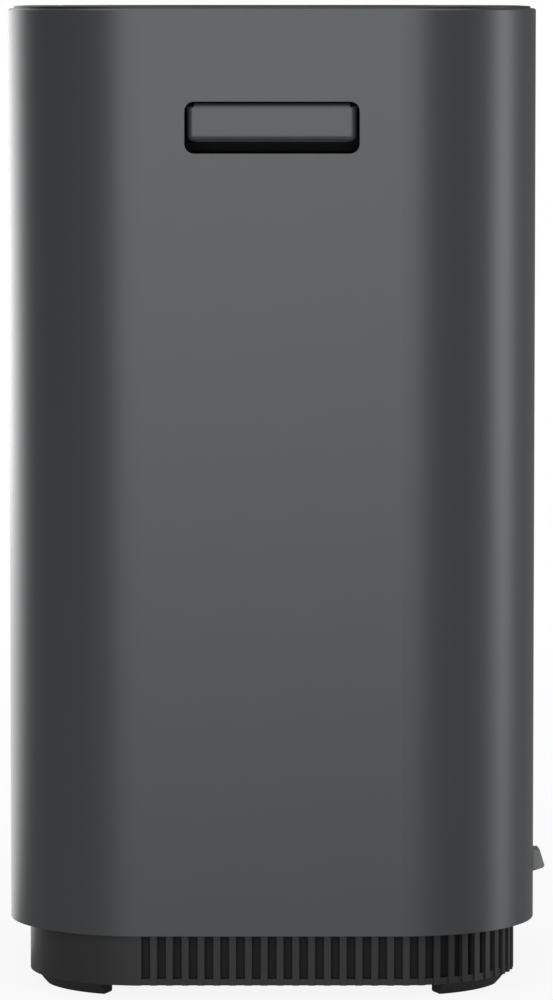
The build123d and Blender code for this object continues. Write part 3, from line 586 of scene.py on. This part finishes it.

# %% [markdown]
# ## Lights behind the lens
# Five small lights shine through the dark lens and show the fan's speed. Each is a low turned disc that
# stands a hair proud of the lens, so that it reads as a dot of even size; the glow is painted as a pale
# colour and gives no light.

# %% Lights behind the lens
lens_low, lens_high = (np.array(corner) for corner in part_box("display_lens"))
lens_middle = (lens_low + lens_high) / 2
dot_profile = np.array([(0, 0.03), (0.75, 0.03), (0.85, 0.0), (0.85, -0.2), (0, -0.2)]) * MM
dot_profile[:, 1] += lens_high[2]
dots = [turned(dot_profile, 24, centre=(x * MM, lens_middle[1])) for x in (-18, -9, 0, 9, 18)]
# Painted glow: a pale colour stands for the lit lights, with no light of their own.
painted_glow_pale = moulded("painted_glow_pale", (0.45, 0.62, 0.60), 0.35, 1200, 0.00001)
make_piece("lens_dots", "housing", together(dots), painted_glow_pale)

# %% [markdown]
# ## Rear cover
# The cover that pulls the filter out is a thin moulding with soft edges and a finger pull.
# It is one family of rounded rectangles: from the middle of the pull's floor out over its lip,
# across the face, round the outer edge, and back over the inside to the back of the pull.

# %% Rear cover
cover_low, cover_high = (np.array(corner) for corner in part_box("filter_cover"))
width, height = cover_high[0] - cover_low[0], cover_high[2] - cover_low[2]
face_y, back_y = cover_high[1], cover_high[1] - 2.5 * MM
pull_back = cover_low[1]
mid_z, pull_z = (cover_low[2] + cover_high[2]) / 2, cover_high[2] - 28.0 * MM
pull_w, pull_h, pull_floor = 60 * MM, 20 * MM, cover_low[1] + 1.6 * MM
lip, soft = 0.9 * MM, 0.7 * MM
quarter = np.linspace(0, np.pi / 2, 5)
rows = [(0, 0, 0, 0, pull_z, pull_floor)]
rows += [(pull_w - 2 * t, pull_h - 2 * t, 3.4 * MM - t, 0, pull_z, pull_floor + r)
         for t, r in zip(1.6 * MM * (1 - np.sin(quarter)), 1.6 * MM * (1 - np.cos(quarter)))]
rows += [(pull_w + 2 * t, pull_h + 2 * t, 3.4 * MM + t, 0, pull_z, face_y - lip + r)
         for t, r in zip(lip * (1 - np.cos(quarter)), lip * np.sin(quarter))]
rows += [(width - 2 * t, height - 2 * t, 5 * MM - t, 0, mid_z, face_y - r)
         for t, r in zip(soft * (1 - np.sin(quarter)), soft * (1 - np.cos(quarter)))]
rows += [(width, height, 5 * MM, 0, mid_z, back_y),
         (pull_w + 3.2 * MM, pull_h + 3.2 * MM, 5 * MM, 0, pull_z, back_y),
         (pull_w + 3.2 * MM, pull_h + 3.2 * MM, 5 * MM, 0, pull_z, pull_back),
         (0, 0, 0, 0, pull_z, pull_back)]
points, faces = rectangles(rows)
make_piece("rear_cover", "filter_cartridge", (points[..., [0, 2, 1]], faces),
           finish["casing_grey"], ("filter_cover",))

# %% [markdown]
# ## Filter nets and seal
# The outer layer on each side of the cartridge is a coarse moulded net over the carbon.
# Its strands are long bars in two layers, upright ones outside and level ones inside.
# The seal is a foam strip with a round crown that runs round the cartridge's top.


# %% Filter nets
def strands(low, high):
    """Boxes between pairs of opposite corners, all at once."""
    pick = np.array([[i >> 2 & 1, i >> 1 & 1, i & 1] for i in range(8)])
    points = np.where(pick[None] == 1, high[:, None], low[:, None])
    box = np.array([[0, 1, 3, 2], [4, 6, 7, 5], [0, 4, 5, 1], [2, 3, 7, 6], [0, 2, 6, 4], [1, 5, 7, 3]])
    return points, (box[None] + (np.arange(len(low)) * 8)[:, None, None]).reshape(-1, 4)


def net(node, outward, pitch=3.4 * MM, thick=0.7 * MM):
    """Two layers of evenly spaced strands that fill the node's box."""
    low, high = (np.array(corner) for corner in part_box(node))
    layers = []
    for axis, outer in ((1, True), (2, False)):
        count = int((high[axis] - low[axis] - thick) / pitch) + 1
        at = np.linspace(low[axis], high[axis] - thick, count)
        a, b = np.tile(low, (count, 1)), np.tile(high, (count, 1))
        a[:, axis], b[:, axis] = at, at + thick
        half = (low[0] + high[0]) / 2
        if outer == (outward > 0):
            a[:, 0] = half
        else:
            b[:, 0] = half
        layers.append(strands(a, b))
    return together(layers)


net_grey = moulded("net_grey", (0.085, 0.087, 0.09), 0.5, 1400, 0.00005)
for side, outward in (("right", 1), ("left", -1)):
    make_piece("net_" + side, "filter_cartridge", net("prefilter_net_" + side, outward),
               net_grey, ("prefilter_net_" + side,))

# %% Foam seal
seal_low, seal_high = (np.array(corner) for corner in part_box("cartridge_seal"))
seal_x, seal_y = (seal_high - seal_low)[:2]
mid_y = (seal_low[1] + seal_high[1]) / 2
crown = np.linspace(0, np.pi, 13)
inward = 4.0 * MM * (1 - np.cos(crown))
up = seal_high[2] - 2.0 * MM + 2.0 * MM * np.sin(crown)
rows = [(seal_x, seal_y, 9 * MM, 0, mid_y, seal_low[2])]
rows += [(seal_x - 2 * t, seal_y - 2 * t, 9 * MM - t, 0, mid_y, z) for t, z in zip(inward, up)]
rows += [(seal_x - 16 * MM, seal_y - 16 * MM, 1 * MM, 0, mid_y, seal_low[2])]
make_piece("foam_seal", "filter_cartridge", rectangles(rows, closed=True), finish["seal_foam"],
           ("cartridge_seal",))

# %% [markdown]
# ## Finish
# The view layer is brought up to date at the end.

# %% Update the view layer
bpy.context.view_layer.update()
